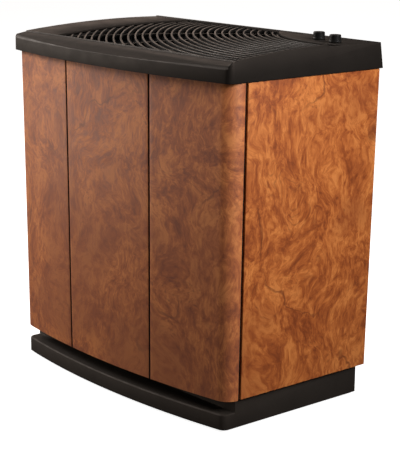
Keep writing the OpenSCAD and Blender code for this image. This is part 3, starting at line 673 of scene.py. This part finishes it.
deck_plastic = moulded("deck_plastic", tint(0.030, 0.031, 0.034), tint(0.044, 0.045, 0.049),
                       tint(0.10, 0.10, 0.11), (0.42, 0.54), size=0.0012)
galvanised = steel("galvanised_plate", tint(0.50, 0.51, 0.53), tint(0.66, 0.67, 0.68), (0.32, 0.5))
motor_metal = steel("motor_laminations", tint(0.26, 0.27, 0.29), tint(0.40, 0.41, 0.43),
                    (0.36, 0.5), 2400.0)
dress_nodes(deck_plastic, "fan_chassis")
dress_nodes(galvanised, "motor_bracket")
dress_nodes(motor_metal, "fan_motor")
dress_nodes(bright_steel, "motor_screws", "deck_screws")

# ------------------------------------------------------------------------ Fan
# Five-bladed axial fan in smoke-grey plastic, pushed on the motor's ground shaft. A plated clip
# holds its hub.

fan_plastic = moulded("fan_plastic", tint(0.065, 0.070, 0.078), tint(0.090, 0.095, 0.105),
                      tint(0.18, 0.19, 0.20), (0.3, 0.42))
dress_nodes(fan_plastic, "fan_blades")
dress_nodes(bright_steel, "fan_shaft")
dress_nodes(zinc, "fan_clip")

# ------------------------------------------------------------------- Controls
# Speed switch and humidity control under the lid, each turned by a ribbed black knob on a shaft.
# The float's switch sits on the deck plate.

switch_plastic = moulded("switch_phenolic", tint(0.030, 0.030, 0.034), tint(0.046, 0.046, 0.052),
                         tint(0.10, 0.10, 0.11), (0.3, 0.42))
ivory_plastic = moulded("ivory_plastic", tint(0.70, 0.66, 0.55), tint(0.80, 0.76, 0.66),
                        tint(0.86, 0.83, 0.75), (0.36, 0.48))
knob_black = moulded("knob_black", tint(0.0075, 0.0070, 0.0068), tint(0.0110, 0.0105, 0.0100),
                     tint(0.05, 0.05, 0.05), (0.32, 0.44), size=0.0005, width=0.0005)
dress_nodes(switch_plastic, "speed_switch", "float_switch")
dress_nodes(ivory_plastic, "humidistat")
dress_nodes(knob_black, "speed_knob", "humidity_knob")
dress_nodes(nylon, "speed_shaft", "humidity_shaft")

# ----------------------------------------------------------------- Float, bush
# Foamed float on a steel rod that rises through the guide tube, and the rubber bush in the back of
# the lid.

float_foam = moulded("float_foam", tint(0.74, 0.74, 0.71), tint(0.84, 0.84, 0.82),
                     tint(0.9, 0.9, 0.88), (0.6, 0.75), size=0.0020, depth=0.0001)
rubber = moulded("bush_rubber", tint(0.012, 0.012, 0.012), tint(0.020, 0.020, 0.019),
                 tint(0.05, 0.05, 0.05), (0.6, 0.75))
dress_nodes(float_foam, "float_body")
dress_nodes(bright_steel, "float_rod")
dress_nodes(rubber, "cord_gland")

# ----------------------------------------------------- Floor, light and camera
# A plain studio floor that only the lens sees white, so that little light rises from it. Soft boxes
# stand right, left and above, with a low card and a rear card, and a long lens at the right front.

floor_white, tree, shader, place = new_material("floor_white")
paint = noise(tree, place, 3.0, 2.0)
tree.links.new(mix(tree, paint.outputs["Fac"], tint(0.12, 0.12, 0.12), tint(0.14, 0.14, 0.14)),
               shader.inputs["Base Color"])
shader.inputs["Roughness"].default_value = 0.9

# To the lens the floor is white; to every other ray it is a dark matt grey.
glow = add_node(tree, "Emission", {"Color": tint(1.0, 1.0, 1.0), "Strength": 0.92})
chalk = add_node(tree, "BsdfDiffuse", {"Color": tint(0.8, 0.8, 0.8)})
seen = add_node(tree, "AddShader", {0: glow.outputs[0], 1: chalk.outputs[0]})
swap = add_node(tree, "MixShader", {0: add_node(tree, "LightPath").outputs["Is Camera Ray"],
                1: shader.outputs[0], 2: seen.outputs[0]})
tree.links.new(swap.outputs[0], tree.nodes["Material Output"].inputs["Surface"])
deselect()
bpy.ops.mesh.primitive_plane_add(size=80, location=(0, 0, 0))
floor = bpy.context.object
floor.name = "floor"
dress(floor, floor_white)

world = bpy.data.worlds.new("studio")
bpy.context.scene.world = world
world.use_nodes = True
world.node_tree.nodes["Background"].inputs["Color"].default_value = tint(1.0, 0.84, 0.74)
world.node_tree.nodes["Background"].inputs["Strength"].default_value = 0.10


def soft_box(name, at, aim, size, watts, colour=(1.0, 1.0, 1.0), beam=180):
    """An area lamp of size = (width, height) that faces aim, with a beam this many degrees wide."""
    lamp = bpy.data.lights.new(name, "AREA")
    lamp.shape = "RECTANGLE"
    lamp.size, lamp.size_y = size
    lamp.energy = watts
    lamp.color = colour
    lamp.spread = radians(beam)
    holder = bpy.data.objects.new(name, lamp)
    holder.location = at
    holder.rotation_euler = (Vector(aim) - Vector(at)).to_track_quat("-Z", "Y").to_euler()
    bpy.context.scene.collection.objects.link(holder)


soft_box("right_box", (1.50, 0.15, 1.25), (0.24, -0.16, 0.46), (0.9, 0.9), 6.9, beam=80)
soft_box("left_box", (-2.75, -1.15, 1.95), (0, 0, 0.20), (1.4, 1.4), 104.0, (1.0, 0.95, 0.90))
soft_box("low_card", (-2.20, -1.60, 0.30), (0, -0.15, 0.05), (1.2, 0.5), 15.0, (1.0, 0.90, 0.80))
soft_box("top_box", (-0.3, 0.6, 2.4), (0, 0, 0.5), (1.6, 1.6), 2.0, (1.0, 0.90, 0.82))
soft_box("rear_card", (-2.75, 1.70, 1.20), (-0.1, 0, 0.5), (1.6, 1.3), 6.0, (1.0, 0.76, 0.62))

camera_at = Vector((1.6298, -1.3717, 0.7296))
camera_azimuth, camera_drop, camera_roll = radians(49.202), radians(13.198), radians(0.595)
lens = bpy.data.cameras.new("camera")
lens.sensor_width = 36.0
lens.lens = 119.16
lens.clip_end = 200.0
camera = bpy.data.objects.new("camera", lens)
camera.matrix_world = (Matrix.Translation(camera_at) @ Matrix.Rotation(camera_azimuth, 4, "Z")
                       @ Matrix.Rotation(pi / 2 - camera_drop, 4, "X")
                       @ Matrix.Rotation(camera_roll, 4, "Z"))
bpy.context.scene.collection.objects.link(camera)
bpy.context.scene.camera = camera
bpy.context.scene.view_settings.view_transform = "Standard"
